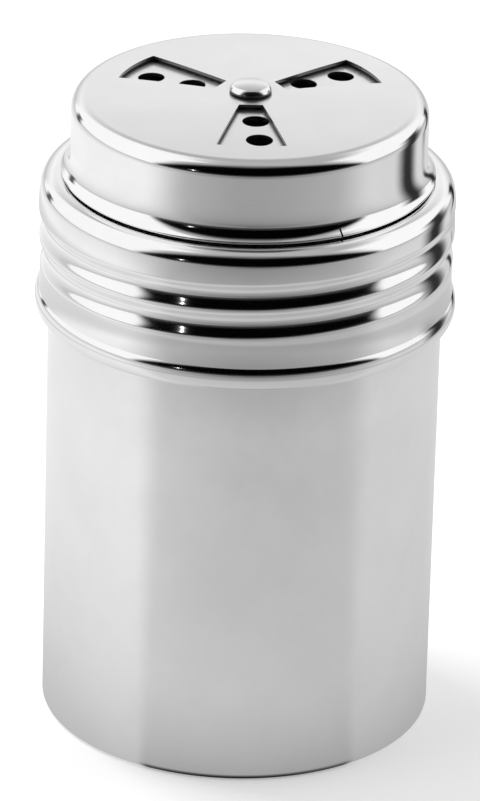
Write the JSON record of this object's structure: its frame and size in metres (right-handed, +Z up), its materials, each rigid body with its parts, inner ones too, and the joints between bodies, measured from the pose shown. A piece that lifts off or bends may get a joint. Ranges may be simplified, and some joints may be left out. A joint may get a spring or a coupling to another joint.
{
  "type": "spice shaker",
  "caption": "Round sheet-steel spice shaker: drawn can, screw lid with rolled thread, and a riveted dial cap whose windows open or close the sprinkling holes.",
  "frame": {"origin": "centre of the foot ring, on the table", "axes": "+Z up along the can's axis and the screw axis; -Y is the front, towards the window that points at the user"},
  "size_m": [0.0662, 0.0662, 0.1062],
  "materials": {
    "can_steel": "satin-polished drawn stainless sheet, faint cloudy polishing marks",
    "lid_steel": "bright polished stainless sheet",
    "cap_steel": "bright polished skirt, fine satin top",
    "rivet_steel": "bright polished, domed",
    "washer_steel": "plain stamped",
    "seal_rubber": "matt, off-white silicone"
  },
  "bodies": {
    "can": {"can": "can_steel"},
    "seal": {"seal_ring": "seal_rubber"},
    "lid": {"lid_shell": "lid_steel", "spacer_washer": "washer_steel", "backing_washer": "washer_steel", "pivot_rivet": "rivet_steel"},
    "dial": {"dial_cap": "cap_steel"}
  },
  "joints": [
    {"name": "lid_rise", "type": "slide", "parent": "can", "child": "seal", "axis": [0, 0, 1], "range_m": [0, 0.0245]},
    {"name": "lid_unscrew", "type": "hinge", "parent": "seal", "child": "lid", "pos_m": [0, 0, 0.08], "axis": [0, 0, 1], "range_deg": [0, 1800]},
    {"name": "dial_turn", "type": "hinge", "parent": "lid", "child": "dial", "pos_m": [0, 0, 0.104], "axis": [0, 0, 1], "continuous": true}
  ],
  "couplings": [
    {"joint": "lid_rise", "follows": "lid_unscrew", "m_per_rad": 0.00076394}
  ]
}
